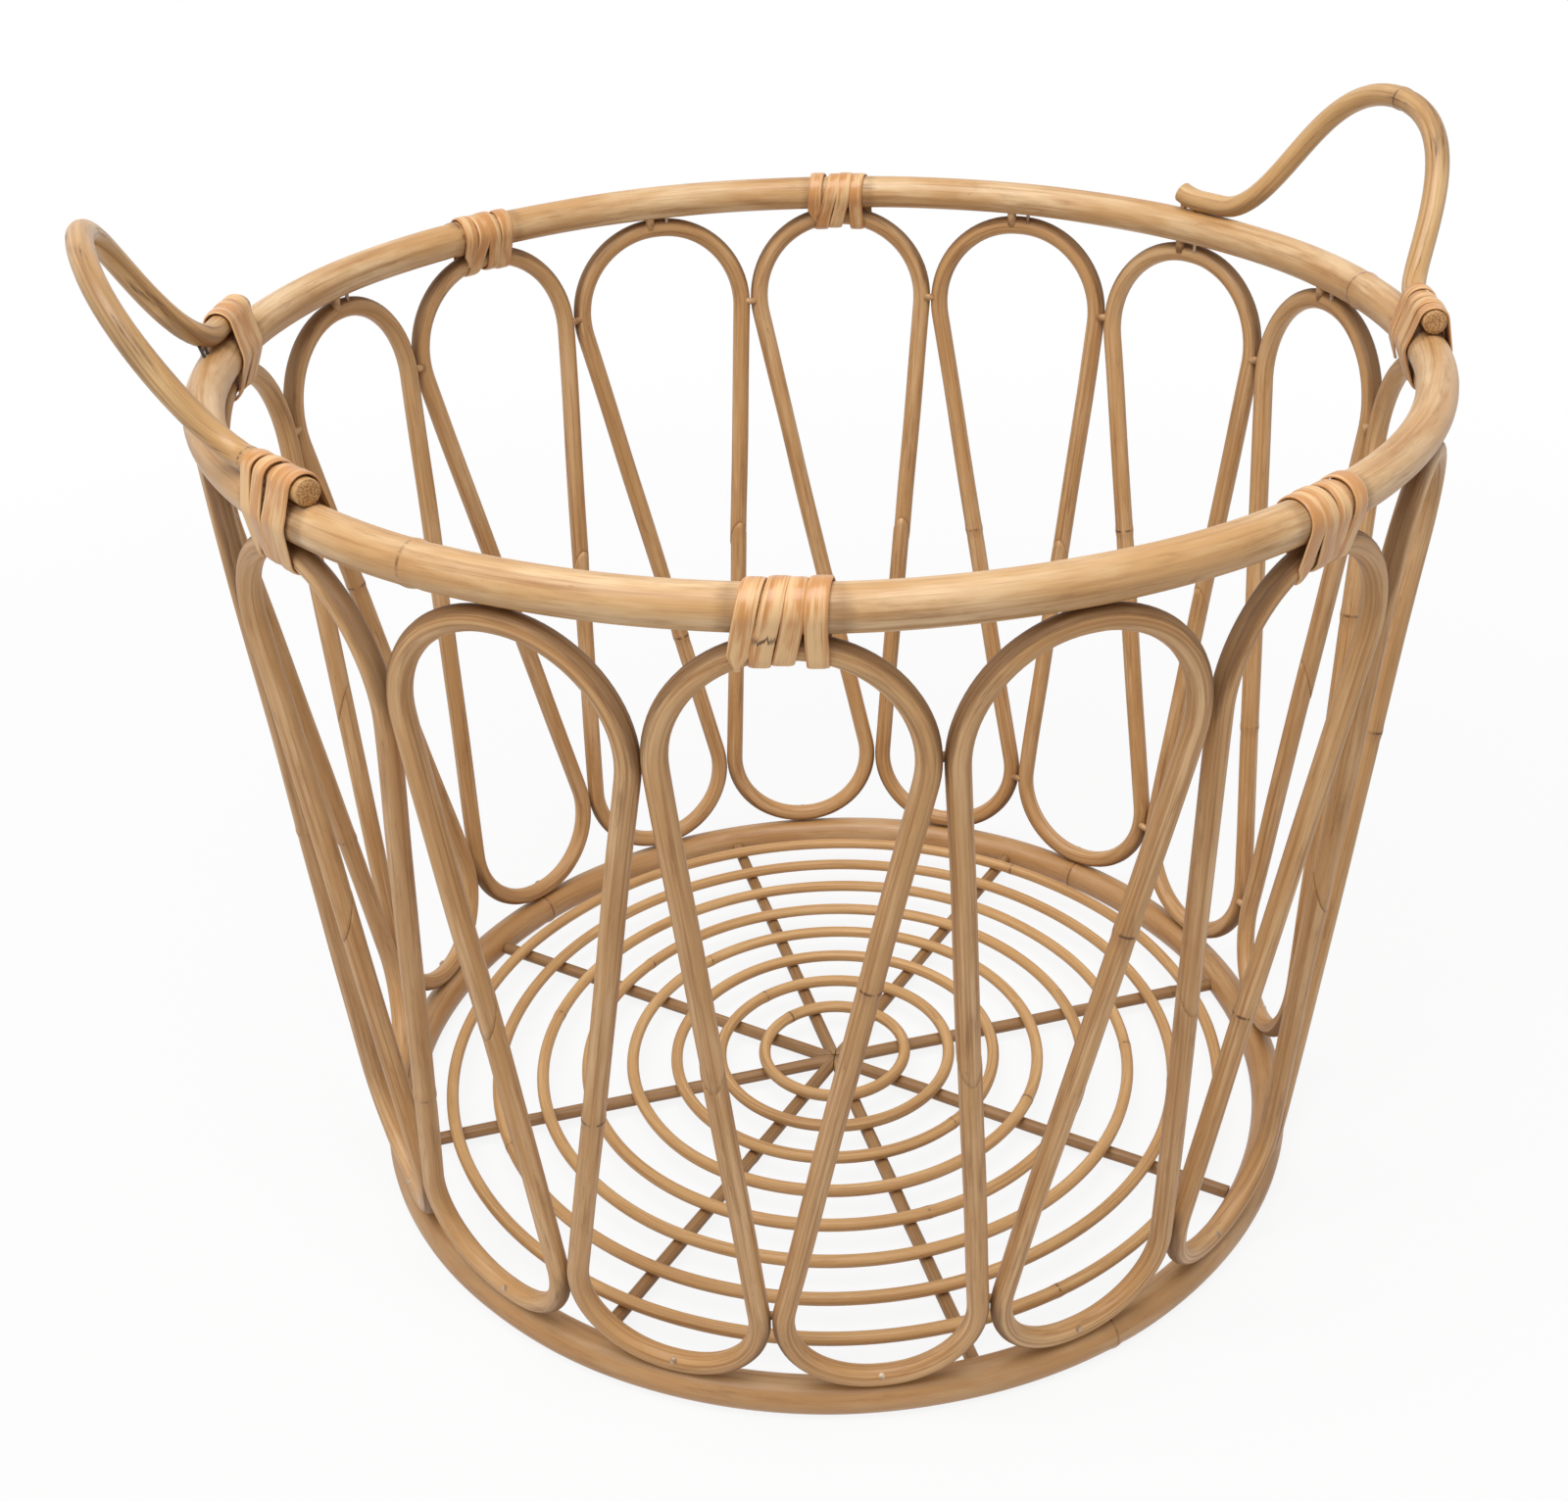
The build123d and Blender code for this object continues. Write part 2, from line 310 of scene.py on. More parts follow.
def finish_stick(name, points, along, nearest, bent, cut, closed, length):
    """Joins the rings to a mesh, closes open ends with a fan to a middle point, and stores the marks."""
    rings, around = along.shape
    start = chance.uniform(0, 40)
    faces = grid_faces(rings, around, closed)
    places = grid_places(along + start, closed, length)
    corners = points.reshape(-1, 3)
    marks = {"joint": np.repeat(nearest, around), "bent": bent.ravel(), "cut": cut.ravel().astype(float)}
    face_list, place_list = faces.tolist(), places.reshape(-1, 2)
    if not closed:
        middles = points[[0, -1]].mean(axis=1)
        turn = np.arange(around)
        turn_next = (turn + 1) % around
        first = np.stack([turn_next, turn, np.full(around, rings * around)], axis=1)
        last = np.stack([turn, turn_next, np.full(around, rings * around + 1)], axis=1)
        last[:, :2] += (rings - 1) * around
        corners = np.concatenate([corners, middles])
        face_list = face_list + first.tolist() + last.tolist()
        fan = np.tile([[start, 0.0], [start, 0.5], [start, 0.25]], (2 * around, 1))
        place_list = np.concatenate([place_list, fan])
        extra = {"joint": nearest[[0, -1]], "bent": [0, 0], "cut": [1, 1]}
        marks = {mark: np.concatenate([values, extra[mark]]) for mark, values in marks.items()}
    marks["tone"] = np.full(len(corners), chance.uniform(0, 1))
    return add_mesh(name, corners, face_list, place_list, marks)


def from_axis(place):
    """Direction away from the basket's upright axis."""
    return place * [1, 1, 0]


def upward(place):
    """Straight up at every place."""
    return np.broadcast_to([0.0, 0.0, 1.0], place.shape)


print("sticks are ready")

# %% [markdown]
# ## The hoops
#
# Each hoop is one thick pole bent to a ring. The lower one has been sanded flat underneath so that the
# basket stands without rocking, which is a plain cut at the floor. The rim's ends meet under the lashing
# at the back, and wet peel has left brown stains on the rim beside each lashing. The lashings are listed
# here with the arch that each one binds and whether it takes in a handle's foot.

# %% The two hoops
lashed = {"lashing_back": (3, False), "lashing_back_left": (5, False), "lashing_foot_left_far": (7, True),
          "lashing_foot_left_near": (9, True), "lashing_front": (11, False), "lashing_front_right": (13, False),
          "lashing_foot_right_near": (15, True)}
lashed_arches = [arch for arch, foot in lashed.values()]
rim_splice = lashed["lashing_back"][0] * arch_step
stain_away, stain_width, stain_share = 0.017, 0.005, 0.6


def peel_stain(place):
    """Strongest at a set distance along the rim from the middle of the nearest lashing."""
    turn = np.arctan2(place[:, 1], place[:, 0])[:, None] - np.array(lashed_arches) * arch_step
    away = np.abs((turn + np.pi) % (2 * np.pi) - np.pi).min(axis=1) * rim_radius
    return stain_share * np.exp(-((away - stain_away) / stain_width) ** 2)


rim_path = circle_path(rim_radius, rim_height, rim_splice)
foot_path = circle_path(base_radius, base_height)
pieces = {
    "top_hoop": stick("rim_hoop", rim_path, pole, from_axis, closed=True, around=32, spacing=0.0025,
                      joint_gap=0.52, wander=0.0004, uneven=0.012, stain=peel_stain),
    "bottom_hoop": stick("foot_hoop", foot_path, pole, from_axis, closed=True, around=32, spacing=0.004,
                         joint_gap=0.45, wander=0.0003, uneven=0.012, floor=0.0),
}
print("hoops:", [len(piece.data.polygons) for piece in pieces.values()], "faces")

# %% [markdown]
# ## The wall
#
# One thin rod climbs over an arch under the rim, runs down, turns in a loop on the foot hoop and climbs
# again. It is pieced together on the legs with long slanted cuts. Bends are as wide as they can be while
# neighbouring arches, and neighbouring loops, only just touch. The loops sit a few degrees round from the
# middle of the gaps between arches, because the base was nailed on with a twist. At the back, arches
# without a lashing hang a little lower, on pegs.

# %% One rod's path
arch_seat, loop_seat = np.radians(6.0), np.radians(8.0)
apex_flat = 0.002
rod_seat = pole + wall_rod + seat_gap
arch_radius = rim_radius + rod_seat * np.sin(arch_seat)
arch_height = rim_height - rod_seat * np.cos(arch_seat)
loop_radius = base_radius + rod_seat * np.sin(loop_seat)
loop_height = base_height + rod_seat * np.cos(loop_seat)
wall_slope = (arch_radius - loop_radius) / np.hypot(arch_radius - loop_radius, arch_height - loop_height)
loop_turn = arch_step / 2 + base_twist


def touching_bend(radius, slope):
    """Bend whose arc just clears the mirror plane between neighbours on a wall of that slope."""
    half = arch_step / 2
    room = radius * np.tan(half) - (wall_rod + seat_gap / 2) / np.cos(half) - apex_flat / 2
    return room / (1 + slope * np.tan(half))


def corner_reach(bend, before, after):
    """From an apex to the corner that its arc rounds off: half the flat, plus bend times tan(turn / 2)."""
    turn = np.arccos(np.clip(unit(before) @ unit(after), -1, 1))
    return apex_flat / 2 + bend * np.tan(turn / 2)


arch_bend = touching_bend(arch_radius, wall_slope)
loop_bend = touching_bend(loop_radius, -wall_slope)
level = np.array([0.0, 1.0, 0.0])
reach = np.array([arch_bend, arch_bend, loop_bend, loop_bend])
for settling in range(12):
    arch_first = np.array([arch_radius, -reach[0], arch_height])
    arch_last = np.array([arch_radius, reach[1], arch_height])
    loop_first = spin([loop_radius, -reach[2], loop_height], loop_turn)
    loop_last = spin([loop_radius, reach[3], loop_height], loop_turn)
    falling, rising = loop_first - arch_last, spin(arch_first, arch_step) - loop_last
    reach = np.array([corner_reach(arch_bend, rising, spin(level, arch_step)),
                      corner_reach(arch_bend, level, falling),
                      corner_reach(loop_bend, falling, spin(level, loop_turn)),
                      corner_reach(loop_bend, spin(level, loop_turn), rising)])


def rod_path(drop, next_drop):
    """From the cut below one arch, over it, round the loop and up to the cut below the next arch."""
    first, last = arch_first - drop, arch_last - drop
    start = (spin(loop_last, -arch_step) + first) / 2
    end = (loop_last + spin(arch_first - next_drop, arch_step)) / 2
    return rounded_path([start, first, last, loop_first, loop_last, end],
                        [arch_bend, arch_bend, loop_bend, loop_bend])


print(f"arch bend {arch_bend:.4f}, loop bend {loop_bend:.4f},",
      f"rod {path_length(rod_path(0.0, 0.0), False):.3f} long")

# %% Sixteen rods with slanted ends
bare_arches = np.setdiff1d(np.arange(arches), lashed_arches)
hanging_arches = [0, 1, 2, 4, 6]
hang = np.array([0.0003, 0.0, 0.0007])
drops = np.zeros((arches + 1, 3))
drops[hanging_arches] = hang
drops[arches] = drops[0]
leg_share = (0.42, 0.60)
scarf_length = 0.022
scarf_fade = 0.030


def scarf(out, over, run, length):
    """Ends slanted across the wall: outer points pulled back along the leg, fading away from the ends."""
    end_share = np.clip(1 - np.minimum(run, length - run) / scarf_fade, 0, 1)
    return -out / (2 * wall_rod) * scarf_length * end_share


for k in range(arches):
    pieces[f"wall_rod_{k + 1:02d}"] = stick(
        f"arch_rod_{k + 1:02d}", spin(rod_path(drops[k], drops[k + 1]), k * arch_step), wall_rod,
        from_axis, around=20, spacing=0.0032, joint_share=leg_share, wander=0.0005, slant=scarf)
print("wall rods:", arches, "of", len(pieces["wall_rod_01"].data.polygons), "faces")

# %% [markdown]
# ## The floor
#
# Eight spokes meet in a mitred star and butt against the foot hoop, and eight rings lie on them. The
# mitre is a limit on each point's sideways place: no further out than the line halfway to the next spoke.

# %% Spokes and rings
spokes = 8
rings = 8
first_ring = 0.036
ring_step = 0.0227
ring_height = base_height + spoke_rod + seat_gap + ring_rod
half_spoke = np.pi / spokes
spoke_reach = base_radius - pole - seat_gap
spoke_tip = 0.0008


def spoke_ends(out, over, run, length):
    """Inner end pointed by the mitre, outer end hollowed to the hoop's round side."""
    mitre = np.clip((np.abs(over) + seat_gap / 2) / np.tan(half_spoke) - run, 0, None)
    cope = (pole - np.sqrt(pole ** 2 - np.minimum(out ** 2, pole ** 2))) * (run > length - spoke_tip)
    return mitre + cope


spoke_path = rounded_path([[share * spoke_reach, 0, base_height] for share in (0, 0.5, 1)], [])
for k in range(spokes):
    angle = base_twist + (k + 1) * 2 * np.pi / spokes
    pieces[f"floor_spoke_{k + 1}"] = stick(
        f"star_spoke_{k + 1}", spin(spoke_path, angle), spoke_rod, upward, around=16, joint_gap=0.30,
        wander=0.0002, slant=spoke_ends)
for k in range(rings):
    pieces[f"floor_ring_{k + 1}"] = stick(
        f"mat_ring_{k + 1}", circle_path(first_ring + k * ring_step, ring_height), ring_rod, from_axis,
        closed=True, around=16, spacing=0.003, joint_gap=0.38, wander=0.0003)
print("floor:", spokes, "spokes,", rings, "rings at", round(ring_height, 4))

# %% [markdown]
# ## The handles
#
# Each handle is one rod bent to a smooth bow. Its feet lie along the rim, one arch away from the middle
# on each side, and the bow swings up and outwards to its crown. From heel to crown it is a single cubic
# curve that leaves along the hoop and arrives level, mirrored for the other half. The left bow is broader
# than the right one. The right bow's far foot has no lashing: it is short, turns up at its tip, and
# stands on two pins.

# %% Two bows
foot_height = rim_height + pole + seat_gap + grip
foot_seat = spin([rim_radius, 0, foot_height], arch_step)
foot_run = spin(level, arch_step)
heel_length, foot_length = 0.018, 0.018
bare_foot = np.linspace(-0.005, 0.0072, 12)[:, None]
bare_foot_lift = 0.0026
across_mirror = np.array([1, -1, 1])
bow_points = 120
toe = foot_seat + foot_run * foot_length


def bow_path(overhang, rise, foot_reach, crown_reach, far_foot):
    """Two feet, and between them two mirrored cubic curves through heel, two pulls and crown."""
    heel = foot_seat - foot_run * heel_length
    crown = np.array([rim_radius + overhang, 0, foot_height + rise])
    pulls = np.array([heel, heel - foot_run * foot_reach, crown + [0, crown_reach, 0], crown])
    t = np.linspace(0, 1, bow_points)[:, None]
    weights = np.concatenate([(1 - t) ** 3, 3 * (1 - t) ** 2 * t, 3 * (1 - t) * t ** 2, t ** 3], axis=1)
    half = weights @ pulls
    line = np.concatenate([far_foot, half, half[-2::-1] * across_mirror, [toe * across_mirror]])
    return rounded_path(line, [])


def sideways(place):
    """Along the line between the two handles."""
    return np.broadcast_to([1.0, 0.0, 0.0], place.shape)


turned_up = ((bare_foot - bare_foot[0]) / (bare_foot[-1] - bare_foot[0])) ** 2 * bare_foot_lift
bare_toes = (foot_seat + foot_run * bare_foot + turned_up * [0, 0, 1])[::-1]
right_bow = bow_path(overhang=0.0250, rise=0.063, foot_reach=0.032, crown_reach=0.061, far_foot=bare_toes)
left_bow = bow_path(overhang=0.0308, rise=0.062, foot_reach=0.041, crown_reach=0.085, far_foot=[toe])
left_bow = spin(left_bow, np.pi)
for side, bow in (("right", right_bow), ("left", left_bow)):
    pieces[f"handle_{side}"] = stick(f"bow_{side}", bow, grip, sideways, around=24, spacing=0.0028,
                                     joint_gap=0.25, wander=0.0006, uneven=0.03)
print("bows:", [len(pieces[f"handle_{side}"].data.polygons) for side in ("right", "left")], "faces")

# %% [markdown]
# ## The lashings
#
# A flat strip of peel goes four times round the rim, the arch below it and, where there is one, the
# handle's foot above it. Pulled tight, it follows the outline of a rubber band round the rods. That
# outline is found from every direction at once: the rod that reaches furthest that way carries the band.
# The strip is then a thin rounded section carried along a helix on that outline, with each turn lying a
# little unevenly.

# %% The band round the rods
peel_width, peel_thickness, peel_turns, peel_pitch = 0.0072, 0.0010, 4, 0.0074
peel_lift = seat_gap + peel_thickness / 2
peel_lean, peel_layer = 0.0026, 0.0004
peel_start, peel_stop = 0.05, 0.13
compass = np.linspace(0, 2 * np.pi, 720, endpoint=False) - np.pi / 2
band_steps = 240
band_offsets = np.linspace(-0.024, 0.024, 49)


def band(offset, foot):
    """Outline round the rods at a distance from the apex, as even steps of (radius, height), and its length."""
    drop = arch_bend - np.sqrt(arch_bend ** 2 - np.clip(abs(offset) - apex_flat / 2, 0, None) ** 2)
    centres = [[rim_radius, rim_height], [arch_radius, arch_height - drop]]
    sizes = [pole, wall_rod]
    if foot:
        centres.append([np.hypot(rim_radius, offset), foot_height])
        sizes.append(grip)
    centres, sizes = np.array(centres), np.array(sizes)
    ray = np.stack([np.cos(compass), np.sin(compass)], axis=1)
    carrier = (ray @ centres.T + sizes).argmax(axis=1)
    line = centres[carrier] + (sizes[carrier] + peel_lift)[:, None] * ray
    line = np.concatenate([line, line[:1]])
    run = np.r_[0, np.cumsum(np.linalg.norm(np.diff(line, axis=0), axis=1))]
    even = np.linspace(0, run[-1], band_steps + 1)
    return np.stack([np.interp(even, run, line[:, axis]) for axis in range(2)], axis=1), run[-1]


def on_band(share, offset, foot):
    """Places on the band by share of the way round and by offset, from a table of outlines."""
    table = np.stack([band(step, foot)[0] for step in band_offsets])
    apart = band_offsets[1] - band_offsets[0]
    row = np.clip((offset - band_offsets[0]) / apart, 0, len(band_offsets) - 1.001)
    column = np.clip(share * band_steps, 0, band_steps - 0.001)
    i, j = row.astype(int), column.astype(int)
    p, q = (row - i)[..., None], (column - j)[..., None]
    return ((1 - p) * ((1 - q) * table[i, j] + q * table[i, j + 1])
            + p * ((1 - q) * table[i + 1, j] + q * table[i + 1, j + 1]))


print(f"band round rim and arch {band(0.0, False)[1]:.4f}, with a handle foot {band(0.0, True)[1]:.4f}")

# %% The wound strips
strip_steps, strip_around = 96, 18
strip_taper, strip_tip = 0.08, 0.35
strip_dome, look_ahead = 0.00025, 0.004


def signed_power(values, power):
    """A power of the size that keeps the sign: below 1, it pushes values away from zero."""
    return np.sign(values) * np.abs(values) ** power


def lashing(name, arch, foot, tear):
    """A flat strip on a helix: each step goes on round the band while the offset grows by a pitch a turn."""
    girth = band(0.0, foot)[1]
    steps = strip_steps * peel_turns + 1
    turn = np.linspace(peel_start, peel_turns - peel_stop, steps)
    slow = 2 * np.pi * turn
    lean = chance.uniform(-1, 1, peel_turns + 1)
    tilt = np.interp(turn, np.arange(peel_turns + 1), peel_lean * signed_power(lean, 0.4))
    offset = (turn - peel_turns / 2) * peel_pitch + tilt * np.cos(slow)
    share = turn % 1.0
    layer = np.interp(turn % 2, [0, 0.1, 0.9, 1.1, 1.9, 2], [0.5, 0, 0, 1, 1, 0.5]) * peel_layer
    middle = on_band(share, offset, foot)
    ahead = on_band((share + look_ahead) % 1.0, offset, foot)
    lead = unit(ahead - on_band((share - look_ahead) % 1.0, offset, foot))
    face = np.stack([lead[:, 1], -lead[:, 0]], axis=1)
    round_turn = np.linspace(0, 2 * np.pi, strip_around, endpoint=False)
    ends = np.clip(np.minimum(turn - turn[0], turn[-1] - turn) / strip_taper, strip_tip, 1)
    width = peel_width * ends * (1 + 0.03 * waves(turn, peel_turns, False))
    across = width[:, None] / 2 * signed_power(np.cos(round_turn), 0.4)
    rise = peel_thickness / 2 * signed_power(np.sin(round_turn), 0.6)
    rise = rise + strip_dome * (1 - (2 * across / peel_width) ** 2) + layer[:, None]
    flat = middle[:, None] + rise[..., None] * face[:, None]
    angle = arch * arch_step + (offset[:, None] + across) / rim_radius
    points = np.stack([flat[..., 0] * np.cos(angle), flat[..., 0] * np.sin(angle), flat[..., 1]], axis=-1)
    along = np.repeat(turn[:, None] * girth, strip_around, axis=1)
    none = np.zeros(along.shape)
    torn = np.ones(steps) if tear is None else (turn - tear) * girth
    return finish_stick(name, points, along, torn, none, none, False, along[-1, 0])


tears = {"lashing_front": 1.20}
for node, (arch, foot) in lashed.items():
    pieces[node] = lashing(node.replace("lashing", "peel"), arch, foot, tears.get(node))
print("lashings:", len(lashed), "of", len(pieces["lashing_front"].data.polygons), "faces")

# %% [markdown]
# ## Brads and pegs
#
# Small nails and pegs hold what the peel doesn't. Domed heads sit on the loops and, underneath, where
# rings cross spokes. A peg and a pin join each bare arch to the rim, and short pegs join neighbouring
# arches and loops, apart from four loops at the back. A head is a few dozen faces, and all heads of a
# kind are one mesh.

# %% Heads and pegs as one mesh each
dome_rise = np.linspace(np.pi / 2, 0.15, 4)
dome_turn = np.linspace(0, 2 * np.pi, 12, endpoint=False)
lift = np.array([0, 0, 1.0])


def domes(name, places, directions, radius, height, body):
    """Copies of a low dome: radius times the sine, and height times the cosine, of an angle from its top."""
    wide = np.r_[1.0, np.sin(dome_rise)] * radius
    tall = np.r_[-body, np.cos(dome_rise) * height]
    up = unit(np.asarray(directions, float))
    helper = np.where(np.abs(up[:, 2:]) < 0.9, [[0.0, 0.0, 1.0]], [[1.0, 0.0, 0.0]])
    side = unit(np.cross(helper, up))
    other = np.cross(up, side)
    disc = np.cos(dome_turn)[:, None] * side[:, None] + np.sin(dome_turn)[:, None] * other[:, None]
    points = (np.asarray(places)[:, None, None] + wide[:, None, None] * disc[:, None]
              + tall[:, None, None] * up[:, None, None])
    count, levels, around = points.shape[:3]
    start = np.arange(count)[:, None, None] * levels * around
    quads = (start + grid_faces(levels, around, False)).reshape(-1, 4)
    ring = np.arange(around)
    caps = (start + np.stack([ring + (levels - 1) * around, ring[::-1]])).reshape(-1, around)
    no_grain = np.zeros((quads.size + caps.size, 2))
    return add_mesh(name, points.reshape(-1, 3), quads.tolist() + caps.tolist(), no_grain, {})


def outwards(turns):
    """Level directions away from the axis at the given angles."""
    return np.stack([np.cos(turns), np.sin(turns), np.zeros(len(turns))], axis=1)


loop_out = outwards(np.arange(arches) * arch_step + loop_turn)
loop_face = unit(0.8 * loop_out + 0.6 * lift)
loop_places = loop_out * loop_radius + lift * loop_height + loop_face * wall_rod
brads = {"loop_brads": domes("loop_brads", loop_places, loop_face, radius=0.0015, height=0.0005, body=0.001)}

spoke_out = outwards(base_twist + np.arange(spokes) * 2 * np.pi / spokes)
cross_radius = first_ring + np.arange(rings) * ring_step
cross = (spoke_out[:, None] * cross_radius[:, None]).reshape(-1, 3) + lift * (base_height - spoke_rod)
brads["floor_brads"] = domes("floor_brads", cross, np.tile(-lift, (len(cross), 1)), radius=0.0012,
                             height=0.0003, body=0.001)
print("brads:", arches, "on loops,", len(cross), "on the floor")

# %% Pegs under the bare arches and between neighbours
peg_inside, peg_body = 0.0028, 0.004
pegs = {}
for name, turn, radius in (("arch_pegs", 0.016, 0.0023), ("arch_pins", -0.020, 0.0009)):
    peg_out = outwards(bare_arches * arch_step + turn)
    peg_foot = peg_out * (arch_radius - hang[0] - peg_inside) + lift * (arch_height - hang[2])
    peg_head = peg_out * (rim_radius - peg_inside) + lift * rim_height
    peg_run = unit(peg_head - peg_foot)
    pegs[name] = domes(name, peg_foot + peg_run * (wall_rod + peg_body), peg_run, radius,
                       height=0.0004, body=2 * peg_body)

touch_search, touch_reach = 0.09, 0.0026
touch_heights = [(rim_height - touch_search, rim_height), (0.0, base_height + touch_search)]
pegless_loops = [2, 3, 4, 5]
touch_places, touch_side = [], []
for k in range(arches):
    rod = spin(rod_path(drops[k], drops[k + 1]), k * arch_step)[::4]
    next_rod = spin(rod_path(drops[k + 1], 0.0), (k + 1) * arch_step)[::4]
    for lowest, highest in touch_heights[:1] if k in pegless_loops else touch_heights:
        near, far = (line[(line[:, 2] > lowest) & (line[:, 2] < highest)] for line in (rod, next_rod))
        apart = np.linalg.norm(near[:, None] - far[None], axis=2)
        i, j = np.unravel_index(apart.argmin(), apart.shape)
        touch_places.append((near[i] + far[j]) / 2)
        touch_side.append(far[j] - near[i])
touch_places, touch_side = np.array(touch_places), unit(np.array(touch_side))
touch_places = touch_places - unit(from_axis(touch_places)) * peg_inside
pegs["touch_pegs"] = domes("touch_pegs", touch_places + touch_side * touch_reach, touch_side,
                           radius=0.0018, height=0.0003, body=2 * touch_reach)
print("pegs:", {name: len(piece.data.polygons) for name, piece in pegs.items()}, "faces")

# %% Pins at two of the handles' feet
pin_reach, heel_lift, heel_points_apart = 0.0025, 0.0022, 5
foot_pins = foot_seat + foot_run * np.array([[0.0052], [-0.001]]) - lift * grip
pegs["foot_pins"] = domes("foot_pins", foot_pins + lift * pin_reach, np.tile(lift, (2, 1)),
                          radius=0.0016, height=0.0004, body=2 * pin_reach)
heel_side = left_bow[(left_bow[:, 1] > 0) & (left_bow[:, 2] > foot_height + heel_lift)]
heel_points = heel_side[::-1][[0, heel_points_apart]]
pin_feet = unit(from_axis(heel_points)) * rim_radius + lift * rim_height
pin_run = pin_feet - heel_points
pin_length = np.linalg.norm(pin_run, axis=1).max()
pegs["heel_pins"] = domes("heel_pins", pin_feet, pin_run, radius=0.0007, height=0.0, body=pin_length)
print("pins:", len(foot_pins), "under the right far foot,", len(heel_points), "at the left far heel")

# %% [markdown]
# ## Finishes
#
# Every rattan finish is the same recipe with its own colours: a honey body, paler clouds, darker streaks
# along the stick, brown flecks, a thin dark line at each leaf joint and smoke on the outside of bends.
# Painting these as pictures would need a picture per stick. A recipe read from each stick's own length
# and turn never repeats.

# %% Values that do sums, and a finish that makes nodes


class Amount:
    """A value in a finish. Plain arithmetic on it adds Math nodes."""

    def __init__(self, finish, socket):
        self.finish = finish
        self.socket = socket

    def sum(self, operation, first, second):
        return self.finish.node("ShaderNodeMath", {"operation": operation}, {0: first, 1: second})

    def __add__(self, other):
        return self.sum("ADD", self, other)

    def __sub__(self, other):
        return self.sum("SUBTRACT", self, other)

    def __mul__(self, other):
        return self.sum("MULTIPLY", self, other)

    def __rsub__(self, other):
        return self.sum("SUBTRACT", other, self)

    __radd__ = __add__
    __rmul__ = __mul__


class Finish:
    """The nodes of a material or a world, with one method that makes any node from its type and sockets."""

    def __init__(self, owner):
        owner.use_nodes = True
        self.owner = owner
        self.tree = owner.node_tree
        self.shader = self.tree.nodes.get("Principled BSDF")

    def node(self, kind, settings, sockets, output=0):
        made = self.tree.nodes.new(kind)
        for setting, value in settings.items():
            setattr(made, setting, value)
        for socket, value in sockets.items():
            self.join(made.inputs[socket], value)
        return Amount(self, made.outputs[output])

    def join(self, socket, value):
        if isinstance(value, Amount):
            self.tree.links.new(value.socket, socket)
        else:
            socket.default_value = value

    def set(self, **sockets):
        for socket, value in sockets.items():
            self.join(self.shader.inputs[socket.replace("_", " ")], value)

    def step(self, value, start, end):
        settings = {"interpolation_type": "SMOOTHSTEP"}
        sockets = {"Value": value, "From Min": start, "From Max": end}
        return self.node("ShaderNodeMapRange", settings, sockets)

    def blend(self, share, first, second):
        return self.node("ShaderNodeMix", {"data_type": "RGBA"}, {0: share, 6: first, 7: second}, 2)

    def mark(self, name):
        return self.node("ShaderNodeAttribute", {"attribute_name": name}, {}, "Fac")


print("finishes are ready")

# %% Colours, and places on a stick


def colour(red, green, blue):
    """Screen values from 0 to 255 as the linear colour that a shader takes."""
    screen = np.array([red, green, blue]) / 255
    linear = np.where(screen <= 0.04045, screen / 12.92, ((screen + 0.055) / 1.055) ** 2.4)
    return (*linear.tolist(), 1.0)


def stick_places(finish):
    """Length along the stick, and a point on the unit circle round it, from the grain UV."""
    grain = finish.node("ShaderNodeUVMap", {"uv_map": "grain"}, {})
    along = finish.node("ShaderNodeSeparateXYZ", {}, {0: grain}, "X")
    turn = finish.node("ShaderNodeSeparateXYZ", {}, {0: grain}, "Y") * (2 * np.pi)
    cosine = finish.node("ShaderNodeMath", {"operation": "COSINE"}, {0: turn})
    sine = finish.node("ShaderNodeMath", {"operation": "SINE"}, {0: turn})
    return along, cosine, sine


def grain_noise(finish, places, lengthwise, around, detail=3.0, rough=0.55):
    """Noise with its own fineness per metre of length and round the stick."""
    along, cosine, sine = places
    spot = {"X": along * lengthwise, "Y": cosine * around, "Z": sine * around}
    settings = {"Scale": 1.0, "Detail": detail, "Roughness": rough}
    return finish.node("ShaderNodeTexNoise", {},
                       {"Vector": finish.node("ShaderNodeCombineXYZ", {}, spot), **settings})


print("screen grey 128 is", round(colour(128, 128, 128)[0], 3), "in linear light")

# %% The rattan recipe
cloud_share, streak_share, fibre_share, patch_share, fleck_share = 0.8, 0.65, 0.38, 0.45, 0.6
line_share, line_edge = 0.8, (0.0003, 0.0009)
halo_share, halo_edge = 0.35, (0.0010, 0.0075)
low_shade_height, pore_fineness = 0.05, 1400.0


